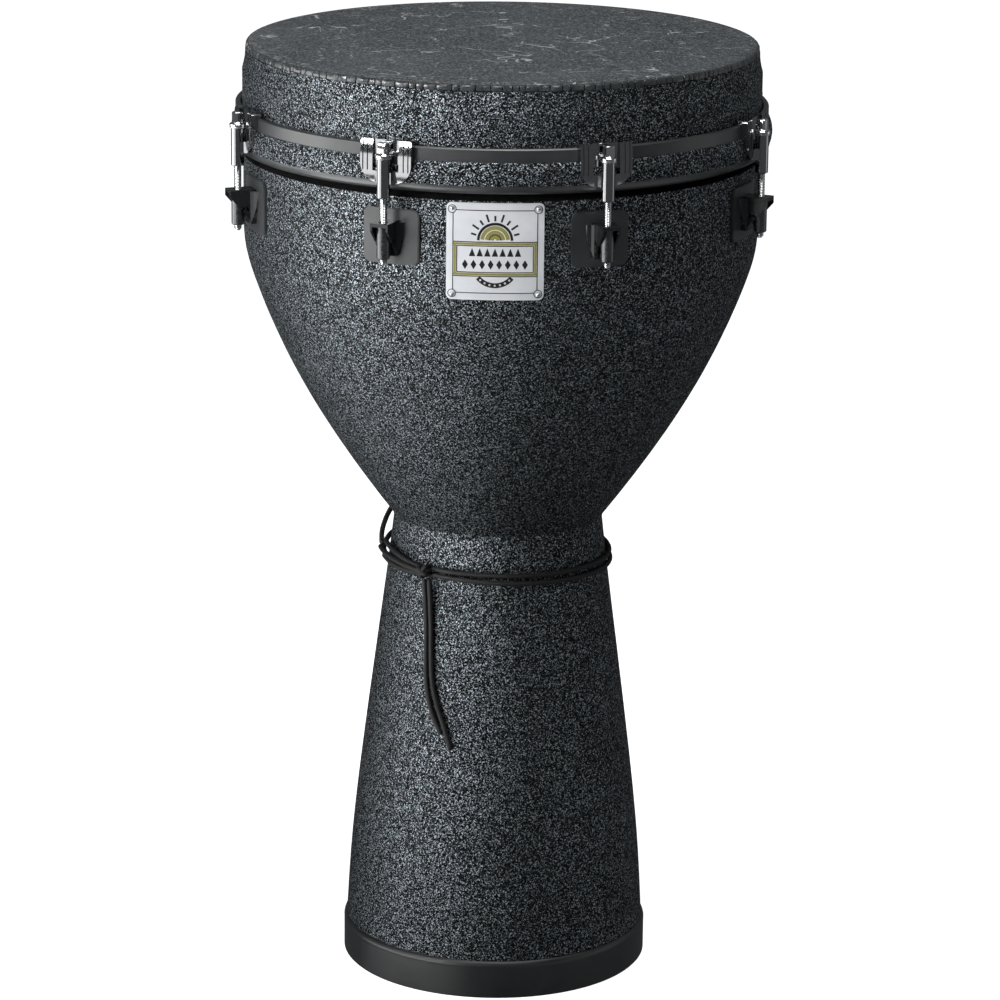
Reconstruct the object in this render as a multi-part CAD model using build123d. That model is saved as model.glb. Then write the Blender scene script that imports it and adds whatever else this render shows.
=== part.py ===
from build123d import *
import os
from math import cos, pi, radians, sin, sqrt, tan

os.makedirs("parts", exist_ok=True)

# A key-tuned djembe: goblet bowl, flared stem, tension-rod head. Millimetres, +Z up.
# The origin is the centre of the foot on the floor, and the nameplate faces -Y.

# Driving dimensions of the body
HEIGHT = 660.0
BOWL_RADIUS = 178.0
BOWL_WALL = 6.0
NECK_RADIUS = 74.0
NECK_HEIGHT = 327.0
JOINT_HEIGHT = 323.0
BELLY_TOP = 536.0
SHOULDER_HEIGHT = 583.5
EDGE_RADIUS = 173.0
EDGE_WALL = 8.0
EDGE_ROUND = 4.0
FOOT_RADIUS = 108.2
FOOT_HEIGHT = 26.8
FOOT_FLOOR = 4.0
FOOT_SHOULDER = 22.4
STEM_WALL = 6.0
SEAT_RADIUS = FOOT_RADIUS - 2.7
SEAT_INNER = SEAT_RADIUS - STEM_WALL
SLEEVE_RADIUS = 67.4
SLEEVE_WALL = 3.0
SLEEVE_FOOT = 297.0
SLEEVE_TOP = 329.0

# Driving dimensions of the head
FILM_THICKNESS = 0.4
FILM_GAP = 0.05
CROWN = HEIGHT - FILM_THICKNESS - FILM_GAP
LIP_HEIGHT = 5.0
LIP_RADIUS = 175.9
COLLAR_RADIUS = 178.5
COLLAR_BORE = 174.3
COLLAR_FOOT = 600.0
FLESH_TOP = 606.0
FLESH_RADIUS = 181.8
STRAP_TOP = 618.8
STRAP_RADIUS = 183.2
RIM_TOP = 609.9
RIM_FOOT = 594.6
RIM_RADIUS = 186.0
LIP_FOOT = 589.0

# Driving dimensions of the tuning hardware
LUG_COUNT = 8
FIRST_LUG = -22.5
ROD_CIRCLE = 191.0
ROD_RADIUS = 2.7
ROD_TIP = 540.0
FLANGE_RADIUS = 5.4
FLANGE_FOOT = 611.5
FLANGE_THICKNESS = 2.0
ROD_NECK = 1.2
KEY_SQUARE = 6.35
HEAD_TOP = 621.4
TUBE_RADIUS = 4.4
TUBE_BORE = 2.95
TUBE_FOOT = 584.6
TUBE_TOP = FLANGE_FOOT - 1.0
SHELF_TOP = 568.4
SHELF_THICKNESS = 2.4
SHELF_REACH = 198.0
SHELF_HOLE = 3.2
PLATE_BED = 179.0
FLARE = 4.6
ROOT_FOOT = 545.0
ROOT_FACE = 184.2
RECEIVER_HALF = 6.4
GUSSET_THICKNESS = 1.4
GUSSET_LIP = 5.0
GUSSET_FOOT = 182.0
NUT_FOOT = 544.0
NUT_RADIUS = 4.4
NUT_SHOULDER = 4.8
SCREW_HEIGHTS = (549.5, 562.5)
SCREW_HOLE = 2.5
SCREW_RADIUS = 2.3
SCREW_TIP = 183.0
WASHER_FACE = 170.6
BRACKET_WIDTH = 36.4
BRACKET_FOOT = 593.5
BRACKET_TOP = 622.0
POCKET_WIDTH = 18.8
POCKET_FLOOR = 601.5
POCKET_BACK = 185.2
GROOVES = (-16.2, -12.9, 12.9, 16.2)
GROOVE_WIDTH = 1.0
GROOVE_DEPTH = 0.9
PLATE_WIDTH = 40.0
PLATE_FOOT = 538.5
PLATE_TOP = 575.5
PLATE_THICKNESS = 2.0

# Driving dimensions of the nameplate and the neck cord
NAMEPLATE_WIDTH = 64.0
NAMEPLATE_FOOT = 517.5
NAMEPLATE_TOP = 582.5
NAMEPLATE_THICKNESS = 1.0
PIN_HOLE = 1.1
PIN_INSET = 3.8
PIN_HEIGHTS = (NAMEPLATE_FOOT + PIN_INSET, NAMEPLATE_TOP - PIN_INSET)
PIN_SIDES = (PIN_INSET - NAMEPLATE_WIDTH / 2, NAMEPLATE_WIDTH / 2 - PIN_INSET)
CORD_DIAMETER = 3.8
CORD_REST = 0.35
KNOT_RADIUS = 4.6
KNOT_CORE = 6.6
KNOT_AZIMUTH = 321.0
KNOT_STAND = 3.4
KNOT_HEIGHT = 299.8

# Outline of the stem and of the bowl as (radius, height), from the floor up
STEM_OUTLINE = [
    (106.2, FOOT_HEIGHT + 0.5),
    (102.9, 80.0),
    (94.2, 160.0),
    (83.8, 240.0),
    (NECK_RADIUS - 0.6, JOINT_HEIGHT),
]
BOWL_OUTLINE = [
    (NECK_RADIUS, NECK_HEIGHT),
    (111.8, 380.0),
    (146.7, 440.0),
    (171.8, 500.0),
    (BOWL_RADIUS, BELLY_TOP),
]
BOWL_SLOPES = [0.76, 0.66, 0.51, 0.32, 0.0]
STEM_SLOPES = [-0.05, -0.09, -0.12, -0.133, -0.11]


def inset(outline, slopes, wall):
    """The outline moved inwards along its normals; a slope is radius over height."""
    moved = []
    for (radius, height), slope in zip(outline, slopes):
        lean = 1.0 / sqrt(1.0 + slope * slope)
        moved.append((radius - wall * lean, height + wall * slope * lean))
    return moved


def curve(outline, slopes):
    """A spline through the outline with the slopes of its two ends."""
    return Spline(*outline, tangents=[(slopes[0], 1), (slopes[-1], 1)])


def turned(*edges):
    """A solid of revolution about Z from edges in the radius-height plane."""
    return revolve(Plane.XZ * make_face(edges), Axis.Z)


def ring(*corners):
    """A solid of revolution about Z from a closed polygon of (radius, height)."""
    return turned(*Polyline(*corners, close=True).edges())


def outward(index):
    """The frame of one lug: X points outwards, Y runs round the drum."""
    return Rot(0, 0, FIRST_LUG + index * 360 / LUG_COUNT - 90)


def box(x0, x1, y0, y1, z0, z1):
    size = (x1 - x0, y1 - y0, z1 - z0)
    return Pos((x0 + x1) / 2, (y0 + y1) / 2, (z0 + z1) / 2) * Box(*size)


def upright(radius, z0, z1, x=ROD_CIRCLE, y=0.0):
    """A vertical cylinder from z0 to z1."""
    return Pos(x, y, (z0 + z1) / 2) * Cylinder(radius, z1 - z0)


def radial_pin(radius, x0, x1, y, z):
    """A cylinder that points outwards."""
    return Pos((x0 + x1) / 2, y, z) * Rot(0, 90, 0) * Cylinder(radius, x1 - x0)


# The body


def pin_places():
    """Where the nameplate's pins go: distance across the front, and height."""
    return [(side, height) for side in PIN_SIDES for height in PIN_HEIGHTS]


def bowl_shell():
    inner = inset(BOWL_OUTLINE, BOWL_SLOPES, BOWL_WALL)
    edge_inner = EDGE_RADIUS - EDGE_WALL
    crown_outer = EDGE_RADIUS - EDGE_ROUND
    round_foot = (EDGE_RADIUS, CROWN - EDGE_ROUND)
    shell = turned(
        Line((SLEEVE_RADIUS, JOINT_HEIGHT), (NECK_RADIUS - 0.6, JOINT_HEIGHT)),
        Line((NECK_RADIUS - 0.6, JOINT_HEIGHT), BOWL_OUTLINE[0]),
        curve(BOWL_OUTLINE, BOWL_SLOPES),
        Line(BOWL_OUTLINE[-1], (BOWL_RADIUS, SHOULDER_HEIGHT)),
        Line((BOWL_RADIUS, SHOULDER_HEIGHT), (EDGE_RADIUS, SHOULDER_HEIGHT + 2)),
        Line((EDGE_RADIUS, SHOULDER_HEIGHT + 2), round_foot),
        RadiusArc(round_foot, (crown_outer, CROWN), -EDGE_ROUND),
        Line((crown_outer, CROWN), (crown_outer - 1, CROWN)),
        Line((crown_outer - 1, CROWN), (edge_inner, CROWN - 3)),
        Line((edge_inner, CROWN - 3), (edge_inner, 580)),
        Line((edge_inner, 580), (BOWL_RADIUS - BOWL_WALL, 568)),
        Line((BOWL_RADIUS - BOWL_WALL, 568), inner[-1]),
        curve(inner, BOWL_SLOPES),
        Line(inner[0], (SLEEVE_RADIUS, JOINT_HEIGHT + 5)),
        Line((SLEEVE_RADIUS, JOINT_HEIGHT + 5), (SLEEVE_RADIUS, JOINT_HEIGHT)),
    )
    for index in range(LUG_COUNT):
        for height in SCREW_HEIGHTS:
            shell -= outward(index) * radial_pin(SCREW_HOLE, 165, 185, 0, height)
    for side, height in pin_places():
        shell -= Rot(0, 0, -90) * radial_pin(PIN_HOLE, 160, 190, side, height)
    return shell


def stem_shell():
    inner = inset(STEM_OUTLINE, STEM_SLOPES, STEM_WALL)
    foot = STEM_OUTLINE[0][1]
    return turned(
        Line((SEAT_INNER, FOOT_FLOOR), (SEAT_RADIUS, FOOT_FLOOR)),
        Line((SEAT_RADIUS, FOOT_FLOOR), (SEAT_RADIUS, foot)),
        Line((SEAT_RADIUS, foot), STEM_OUTLINE[0]),
        curve(STEM_OUTLINE, STEM_SLOPES),
        Line(STEM_OUTLINE[-1], (SLEEVE_RADIUS, JOINT_HEIGHT)),
        Line((SLEEVE_RADIUS, JOINT_HEIGHT), (SLEEVE_RADIUS, SLEEVE_FOOT - 4)),
        Line((SLEEVE_RADIUS, SLEEVE_FOOT - 4), inner[3]),
        curve(inner[:4], STEM_SLOPES[:4]),
        Line(inner[0], (SEAT_INNER, foot)),
        Line((SEAT_INNER, foot), (SEAT_INNER, FOOT_FLOOR)),
    )


def foot_bumper():
    """A rubber channel with a rounded shoulder, which the stem's lower edge stands in."""
    lip_inner = SEAT_INNER - 2.5
    lip_top = 14.0
    top_outer = (FOOT_RADIUS - 1.9, FOOT_HEIGHT)
    shoulder = (FOOT_RADIUS, FOOT_SHOULDER)
    return turned(
        Line((lip_inner, 0), (FOOT_RADIUS - 1, 0)),
        Line((FOOT_RADIUS - 1, 0), (FOOT_RADIUS, 1)),
        Line((FOOT_RADIUS, 1), shoulder),
        ThreePointArc(shoulder, (FOOT_RADIUS - 0.45, FOOT_HEIGHT - 1.6), top_outer),
        Line(top_outer, (SEAT_RADIUS, FOOT_HEIGHT)),
        Line((SEAT_RADIUS, FOOT_HEIGHT), (SEAT_RADIUS, FOOT_FLOOR)),
        Line((SEAT_RADIUS, FOOT_FLOOR), (SEAT_INNER, FOOT_FLOOR)),
        Line((SEAT_INNER, FOOT_FLOOR), (SEAT_INNER, lip_top)),
        Line((SEAT_INNER, lip_top), (lip_inner, lip_top)),
        Line((lip_inner, lip_top), (lip_inner, 0)),
    )


def neck_sleeve():
    """The coupling inside the neck, glued to the bowl and to the stem."""
    bore = SLEEVE_RADIUS - SLEEVE_WALL
    return ring(
        (bore, SLEEVE_FOOT),
        (SLEEVE_RADIUS, SLEEVE_FOOT),
        (SLEEVE_RADIUS, JOINT_HEIGHT + 5),
        (SLEEVE_RADIUS - 1, SLEEVE_TOP),
        (bore, SLEEVE_TOP),
    )


def skin(thickness):
    """A layer that follows the upper bowl's outside."""
    inner = BOWL_OUTLINE[2:]
    outer = [(radius + thickness, height) for radius, height in inner]
    inner_top = (BOWL_RADIUS, SHOULDER_HEIGHT)
    outer_top = (BOWL_RADIUS + thickness, SHOULDER_HEIGHT)
    return turned(
        curve(inner, BOWL_SLOPES[2:]),
        Line(inner[-1], inner_top),
        Line(inner_top, outer_top),
        Line(outer_top, outer[-1]),
        curve(outer, BOWL_SLOPES[2:]),
        Line(outer[0], inner[0]),
    )


def tile(width, foot, top, corner):
    """A rounded rectangle pushed outwards along +X, to cut a plate out of a skin."""
    outline = RectangleRounded(width, top - foot, corner)
    return Pos(150, 0, (foot + top) / 2) * extrude(Plane.YZ * outline, 60)


def nameplate():
    blank = tile(NAMEPLATE_WIDTH, NAMEPLATE_FOOT, NAMEPLATE_TOP, 3.5)
    plate = skin(NAMEPLATE_THICKNESS) & blank
    for side, height in pin_places():
        plate -= radial_pin(PIN_HOLE, 160, 190, side, height)
    return Rot(0, 0, -90) * plate


def nameplate_pins():
    """Domed drive pins through the nameplate into the bowl."""
    dome = Pos(0.3, 0, 0) * Sphere(1.5) & box(0.3, 2, -2, 2, -2, 2)
    pin = radial_pin(1.0, -4.5, 0.3, 0, 0) + dome
    pins = []
    for side, height in pin_places():
        reach = BOWL_RADIUS - 0.9 if height < BELLY_TOP else BOWL_RADIUS
        face = sqrt((reach + NAMEPLATE_THICKNESS) ** 2 - side * side)
        pins.append(Rot(0, 0, -90) * Pos(face, side, height) * pin)
    return Compound(children=pins)


# The receivers on the bowl


def gusset():
    """One side wall of a receiver: a sloping edge with a slot in it, and a slotted hole."""
    slope_top = (SHELF_REACH, SHELF_TOP - GUSSET_LIP)
    slope_foot = (GUSSET_FOOT, ROOT_FOOT)
    corners = [(PLATE_BED, SHELF_TOP), (SHELF_REACH, SHELF_TOP), slope_top, slope_foot]
    wall = make_face(Polyline(*corners, (PLATE_BED, ROOT_FOOT), close=True).edges())
    middle = ((slope_top[0] + slope_foot[0]) / 2, (slope_top[1] + slope_foot[1]) / 2)
    slot = Pos(*middle) * Rot(0, 0, -49) * SlotOverall(6.4, 1.7, rotation=0)
    hole = Pos(186.2, 556) * SlotOverall(4.2, 1.7, rotation=70)
    return extrude(Plane.XZ * (wall - slot - hole), GUSSET_THICKNESS / 2, both=True)


def flare():
    """The root's concave sides, which spread out to the plate and narrow downwards."""
    half = RECEIVER_HALF
    top = SHELF_TOP - 1
    front = Polyline(
        (-half - FLARE, top),
        (half + FLARE, top),
        (half + 0.7 * FLARE, 557),
        (half, ROOT_FOOT),
        (-half, ROOT_FOOT),
        (-half - 0.7 * FLARE, 557),
        close=True,
    )
    plan = Polyline(
        (PLATE_BED, -half - FLARE),
        (PLATE_BED + 1.6, -half - 0.8 * FLARE),
        (PLATE_BED + 3.4, -half - 0.3 * FLARE),
        (ROOT_FACE, -half),
        (ROOT_FACE, half),
        (PLATE_BED + 3.4, half + 0.3 * FLARE),
        (PLATE_BED + 1.6, half + 0.8 * FLARE),
        (PLATE_BED, half + FLARE),
        close=True,
    )
    pushed_up = Pos(0, 0, ROOT_FOOT) * extrude(make_face(plan.edges()), top - ROOT_FOOT)
    pushed_out = Pos(170, 0, 0) * extrude(Plane.YZ * make_face(front.edges()), 30)
    return pushed_up & pushed_out


def lug_plate():
    """The receiver's mounting plate, with a chamfered rim."""
    blank = tile(PLATE_WIDTH, PLATE_FOOT, PLATE_TOP, 5)
    step = tile(PLATE_WIDTH - 1.4, PLATE_FOOT + 0.7, PLATE_TOP - 0.7, 4.3)
    return (skin(PLATE_THICKNESS - 0.5) & blank) + (skin(PLATE_THICKNESS) & step)


def plain_lug():
    """A receiver: a plate on the bowl, a shelf, two gussets and a root for two screws."""
    half = RECEIVER_HALF
    body = lug_plate()
    body += box(PLATE_BED, ROOT_FACE, -half, half, ROOT_FOOT, SHELF_TOP)
    body += box(PLATE_BED, SHELF_REACH, -half, half, SHELF_TOP - SHELF_THICKNESS, SHELF_TOP)
    body += flare()
    for sign in (-1, 1):
        body += Pos(0, sign * (half - GUSSET_THICKNESS / 2), 0) * gusset()
    body -= upright(SHELF_HOLE, SHELF_TOP - 5, SHELF_TOP + 5)
    for height in SCREW_HEIGHTS:
        body -= radial_pin(SCREW_RADIUS + 0.05, 170, SCREW_TIP + 0.2, 0, height)
    return body


def plain_lug_nut():
    """A barrel nut that hangs under the shelf by its shoulder."""
    top = SHELF_TOP - SHELF_THICKNESS
    nut = upright(NUT_RADIUS, NUT_FOOT, top) + upright(NUT_SHOULDER, top - 1.4, top)
    nut = chamfer(nut.edges().group_by(Axis.Z)[0], 0.7)
    return nut - upright(ROD_RADIUS + 0.06, NUT_FOOT - 1, top + 1)


def at_screws(make):
    """One solid for each lug screw."""
    places = [(index, height) for index in range(LUG_COUNT) for height in SCREW_HEIGHTS]
    return Compound(children=[outward(index) * make(height) for index, height in places])


def lug_screws():
    def screw(height):
        blank = radial_pin(4.2, WASHER_FACE - 3, WASHER_FACE, 0, height)
        head = fillet(blank.edges().group_by(Axis.X)[0], 1.2)
        slot = box(WASHER_FACE - 3, WASHER_FACE - 2, -0.5, 0.5, height - 5, height + 5)
        return head - slot + radial_pin(SCREW_RADIUS, WASHER_FACE, SCREW_TIP, 0, height)

    return at_screws(screw)


def lug_washers():
    def washer(height):
        disc = radial_pin(5.5, WASHER_FACE, WASHER_FACE + 1.2, 0, height)
        return disc - radial_pin(SCREW_RADIUS + 0.1, 170, 172, 0, height)

    return at_screws(washer)


# The head


def head_film():
    """The playing film with its crimped rim, which hooks over the collar's top."""
    rim_foot = HEIGHT - LIP_HEIGHT
    under = HEIGHT - FILM_THICKNESS
    edge = 2.5
    return turned(
        Line((0, under), (0, HEIGHT)),
        Line((0, HEIGHT), (LIP_RADIUS - edge, HEIGHT)),
        RadiusArc((LIP_RADIUS - edge, HEIGHT), (LIP_RADIUS, HEIGHT - edge), edge),
        Line((LIP_RADIUS, HEIGHT - edge), (LIP_RADIUS, rim_foot)),
        Line((LIP_RADIUS, rim_foot), (COLLAR_BORE, rim_foot)),
        Line((COLLAR_BORE, rim_foot), (COLLAR_BORE, HEIGHT - edge)),
        Line((COLLAR_BORE, HEIGHT - edge), (COLLAR_BORE - 1.6, under)),
        Line((COLLAR_BORE - 1.6, under), (0, under)),
    )


def head_collar():
    top = HEIGHT - LIP_HEIGHT
    return turned(
        Line((COLLAR_BORE, COLLAR_FOOT), (COLLAR_RADIUS, COLLAR_FOOT)),
        Line((COLLAR_RADIUS, COLLAR_FOOT), (COLLAR_RADIUS, top - 14)),
        RadiusArc((COLLAR_RADIUS, top - 14), (COLLAR_RADIUS - 2.2, top), 45),
        Line((COLLAR_RADIUS - 2.2, top), (COLLAR_BORE, top)),
        Line((COLLAR_BORE, top), (COLLAR_BORE, COLLAR_FOOT)),
    )


def flesh_hoop():
    return ring(
        (COLLAR_RADIUS, COLLAR_FOOT),
        (FLESH_RADIUS, COLLAR_FOOT),
        (FLESH_RADIUS, FLESH_TOP),
        (COLLAR_RADIUS, FLESH_TOP),
    )


def counter_hoop():
    """An inverted L: its flange presses on the flesh hoop."""
    bore = COLLAR_RADIUS + 0.6
    return ring(
        (bore, FLESH_TOP),
        (FLESH_RADIUS + 0.1, FLESH_TOP),
        (FLESH_RADIUS + 0.1, RIM_FOOT),
        (STRAP_RADIUS, RIM_FOOT),
        (STRAP_RADIUS, STRAP_TOP - 0.8),
        (STRAP_RADIUS - 0.8, STRAP_TOP),
        (bore + 0.8, STRAP_TOP),
        (bore, STRAP_TOP - 0.8),
    )


def hoop_rim():
    """The bulging ring round the lower half of the counter hoop."""
    belly = (RIM_RADIUS, (RIM_TOP + RIM_FOOT) / 2 - 1)
    return turned(
        Line((STRAP_RADIUS, RIM_FOOT), (RIM_RADIUS - 1.2, RIM_FOOT)),
        ThreePointArc((RIM_RADIUS - 1.2, RIM_FOOT), belly, (STRAP_RADIUS + 0.7, RIM_TOP)),
        Line((STRAP_RADIUS + 0.7, RIM_TOP), (STRAP_RADIUS, RIM_TOP)),
        Line((STRAP_RADIUS, RIM_TOP), (STRAP_RADIUS, RIM_FOOT)),
    )


def rim_lip():
    """The smooth lower edge, rounded where a player's legs meet it."""
    bore = COLLAR_RADIUS + 1.0
    outer = RIM_RADIUS - 1.4
    return turned(
        Line((bore, LIP_FOOT), (outer - 3, LIP_FOOT)),
        RadiusArc((outer - 3, LIP_FOOT), (outer, RIM_FOOT), -6.4),
        Line((outer, RIM_FOOT), (bore, RIM_FOOT)),
        Line((bore, RIM_FOOT), (bore, LIP_FOOT)),
    )


# The tuning brackets


def hoop_envelope():
    """Everything inside the hoop's outer surface, which a bracket is hollowed by."""
    collar = ring((0, 580), (COLLAR_RADIUS + 0.6, 580), (COLLAR_RADIUS + 0.6, 640), (0, 640))
    strap = ring((0, RIM_FOOT), (STRAP_RADIUS, RIM_FOOT), (STRAP_RADIUS, STRAP_TOP), (0, STRAP_TOP))
    lip = ring((0, 585), (RIM_RADIUS - 1.2, 585), (RIM_RADIUS - 1.2, RIM_FOOT), (0, RIM_FOOT))
    return collar + strap + hoop_rim() + lip


def bracket_side():
    """The bracket seen from its side, pushed across its width: a slightly convex face."""
    top = (186.7, BRACKET_TOP)
    foot = (187.0, BRACKET_FOOT)
    inner = 179.6
    face = make_face(
        [
            ThreePointArc(top, (188.1, 607), foot).edge(),
            Line(foot, (inner, BRACKET_FOOT)).edge(),
            Line((inner, BRACKET_FOOT), (inner, BRACKET_TOP)).edge(),
            Line((inner, BRACKET_TOP), top).edge(),
        ]
    )
    return extrude(Plane.XZ * face, BRACKET_WIDTH / 2 + 1, both=True)


def bracket_front():
    """The bracket seen from outside, pushed outwards: a shield with a round foot."""
    height = BRACKET_TOP - BRACKET_FOOT
    shield = Rectangle(BRACKET_WIDTH, height)
    shield = fillet(shield.vertices().group_by(Axis.Y)[0], 13)
    shield = fillet(shield.vertices().group_by(Axis.Y)[-1], 1.5)
    return Pos(170, 0, BRACKET_FOOT + height / 2) * extrude(Plane.YZ * shield, 40)


def bracket_boss():
    """The tapering root that holds the guide tube, under the pocket."""
    profile = Polyline(
        (185, -8.8),
        (186.8, -8.8),
        (188.6, -6.3),
        (191.4, -5.3),
        (191.4, 5.3),
        (188.6, 6.3),
        (186.8, 8.8),
        (185, 8.8),
        close=True,
    )
    foot = BRACKET_FOOT + 0.5
    return Pos(0, 0, foot) * extrude(make_face(profile.edges()), POCKET_FLOOR - foot)


def plain_bracket():
    side = bracket_side()
    body = side & bracket_front()
    half = POCKET_WIDTH / 2
    body -= box(POCKET_BACK, 200, -half, half, POCKET_FLOOR, 630)
    body += bracket_boss()
    for across in GROOVES:
        groove = box(180, 200, across - GROOVE_WIDTH / 2, across + GROOVE_WIDTH / 2, POCKET_FLOOR, 630)
        body -= groove - Pos(-GROOVE_DEPTH, 0, 0) * side
    body -= hoop_envelope()
    return body - upright(TUBE_RADIUS, 570, 630)


def plain_guide_tube():
    tube = upright(TUBE_RADIUS, TUBE_FOOT, TUBE_TOP)
    ends = tube.edges().group_by(Axis.Z)
    tube = chamfer(ends[0] + ends[-1], 0.4)
    return tube - upright(TUBE_BORE, TUBE_FOOT - 1, TUBE_TOP + 1)


def rod_washers():
    """A washer on each guide tube, under the rod's flange."""
    washer = upright(5.2, TUBE_TOP, FLANGE_FOOT) - upright(TUBE_BORE, TUBE_TOP - 1, FLANGE_FOOT + 1)
    return Compound(children=[outward(index) * washer for index in range(LUG_COUNT)])


def plain_tension_rod():
    """Square key head, flange and shank; the thread is the shank's outer diameter."""
    flange_top = FLANGE_FOOT + FLANGE_THICKNESS
    square_foot = flange_top + ROD_NECK
    square_tall = HEAD_TOP - square_foot
    rod = upright(ROD_RADIUS, ROD_TIP + 1, FLANGE_FOOT)
    rod += Pos(ROD_CIRCLE, 0, ROD_TIP + 0.5) * Cone(ROD_RADIUS - 1, ROD_RADIUS, 1)
    rod += upright(FLANGE_RADIUS, FLANGE_FOOT, flange_top)
    rod += Pos(ROD_CIRCLE, 0, flange_top + ROD_NECK / 2) * Cone(4.6, 3.9, ROD_NECK)
    head = Pos(ROD_CIRCLE, 0, square_foot + square_tall / 2) * Box(KEY_SQUARE, KEY_SQUARE, square_tall)
    return rod + chamfer(head.edges().group_by(Axis.Z)[-1], 0.9)


# The neck cord. A place is (azimuth from the front, towards +X; stand-off; height).

LOOP_LOWER = [
    (-37, 0.4, 297.0),
    (-20, 0.0, 296.2),
    (10, 0.0, 294.6),
    (40, 0.0, 293.8),
    (70, 0.0, 292.8),
    (100, 0.0, 292.4),
    (130, 0.0, 294.0),
    (160, 0.0, 297.0),
    (190, 0.0, 300.6),
    (220, 0.0, 303.0),
    (250, 0.0, 302.8),
    (269, 1.0, 300.6),
    (281, 2.6, 299.4),
]
LOOP_UPPER = [
    (-37, 0.4, 301.4),
    (-20, 0.0, 300.6),
    (10, 0.0, 300.0),
    (40, 0.0, 299.8),
    (70, 0.0, 298.6),
    (100, 0.0, 298.2),
    (130, 0.0, 300.6),
    (160, 0.0, 305.4),
    (190, 0.0, 312.0),
    (220, 0.0, 318.6),
    (243, 0.0, 323.4),
    (259, 0.6, 324.0),
    (269, 3.0, 318.0),
    (276, 5.2, 309.6),
    (281, 4.6, 304.2),
]
TAIL_A = [
    (-36.6, 3.4, 294.0),
    (-36.4, 0.6, 280.0),
    (-34.8, 0.0, 262.0),
    (-33.6, 0.0, 242.0),
    (-32.4, 0.0, 222.0),
    (-29.6, 0.0, 206.0),
    (-26.2, 0.0, 195.0),
    (-23.0, 0.0, 187.0),
]
TAIL_B = [
    (-33.6, 3.4, 294.0),
    (-33.4, 0.8, 280.0),
    (-32.0, 0.0, 262.0),
    (-30.8, 0.0, 242.0),
    (-29.4, 0.0, 222.0),
    (-25.8, 0.0, 206.0),
    (-21.6, 0.0, 192.0),
    (-18.2, 0.0, 176.5),
]
KNOT_RUN = [
    (281.5, 2.4, 301.6),
    (293, 2.4, 301.2),
    (307, 2.4, 300.4),
    (321, 2.4, 299.2),
]


def stem_radius(height):
    """The stem's outer radius at a height."""
    for (low_r, low_z), (high_r, high_z) in zip(STEM_OUTLINE, STEM_OUTLINE[1:]):
        if height <= high_z:
            return low_r + (high_r - low_r) * (height - low_z) / (high_z - low_z)
    return STEM_OUTLINE[-1][0]


def placed(places, radius):
    """The corners of a route round the stem, outside its arcs where the route turns."""
    corners = []
    for number, (azimuth, stand_off, height) in enumerate(places):
        ends = [places[max(number - 1, 0)][0], places[min(number + 1, len(places) - 1)][0]]
        half_turn = radians(abs(ends[1] - ends[0]) / 4)
        reach = (stem_radius(height) + radius + CORD_REST + stand_off) / cos(half_turn)
        angle = radians(azimuth)
        corners.append((reach * sin(angle), -reach * cos(angle), height))
    return corners


def tube_route(corners):
    """Straight runs joined by arcs as large as the runs allow."""
    vectors = [Vector(*corner) for corner in corners]
    radii = []
    for before, at, after in zip(vectors, vectors[1:], vectors[2:]):
        half_turn = radians((at - before).get_angle(after - at)) / 2
        radii.append(0.45 * min((at - before).length, (after - at).length) / tan(half_turn))
    return FilletPolyline(*corners, radius=radii)


def tube(places, radius=CORD_DIAMETER / 2):
    route = tube_route(placed(places, radius))
    solid = sweep(Plane(origin=route @ 0, z_dir=route % 0) * Circle(radius), path=route)
    straight = pi * radius**2 * route.length
    print("cord route", round(route.length, 1), "volume ratio", round(solid.volume / straight, 4))
    return solid


def cord_knot(strands):
    """The lashing and the knot that the tails leave, around the strands through them."""
    centre = placed([(KNOT_AZIMUTH, KNOT_STAND, KNOT_HEIGHT)], KNOT_RADIUS)[0]
    knot = tube(KNOT_RUN, KNOT_RADIUS) + Pos(*centre) * Sphere(KNOT_CORE)
    for strand in strands:
        knot -= strand
    return knot


def build():
    cords = {
        "cord_loop_lower": tube(LOOP_LOWER),
        "cord_loop_upper": tube(LOOP_UPPER),
        "cord_tail_a": tube(TAIL_A),
        "cord_tail_b": tube(TAIL_B),
    }
    nodes = {
        "bowl_shell": bowl_shell(),
        "stem_shell": stem_shell(),
        "neck_sleeve": neck_sleeve(),
        "foot_bumper": foot_bumper(),
        "nameplate": nameplate(),
        "nameplate_pins": nameplate_pins(),
        "lug_screws": lug_screws(),
        "lug_washers": lug_washers(),
        "head_film": head_film(),
        "head_collar": head_collar(),
        "flesh_hoop": flesh_hoop(),
        "counter_hoop": counter_hoop(),
        "hoop_rim": hoop_rim(),
        "rim_lip": rim_lip(),
        "rod_washers": rod_washers(),
        "cord_knot": cord_knot(cords.values()),
        **cords,
    }
    repeated = {
        "lug": plain_lug(),
        "lug_nut": plain_lug_nut(),
        "bracket": plain_bracket(),
        "guide_tube": plain_guide_tube(),
        "tension_rod": plain_tension_rod(),
    }
    for name, shape in repeated.items():
        for index in range(LUG_COUNT):
            nodes[f"{name}_{index + 1}"] = outward(index) * shape
    for name, shape in nodes.items():
        export_step(shape, f"parts/{name}.step")


build()
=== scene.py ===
import math
import random

import bpy
from mathutils import Matrix, Vector
from mathutils.bvhtree import BVHTree


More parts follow.
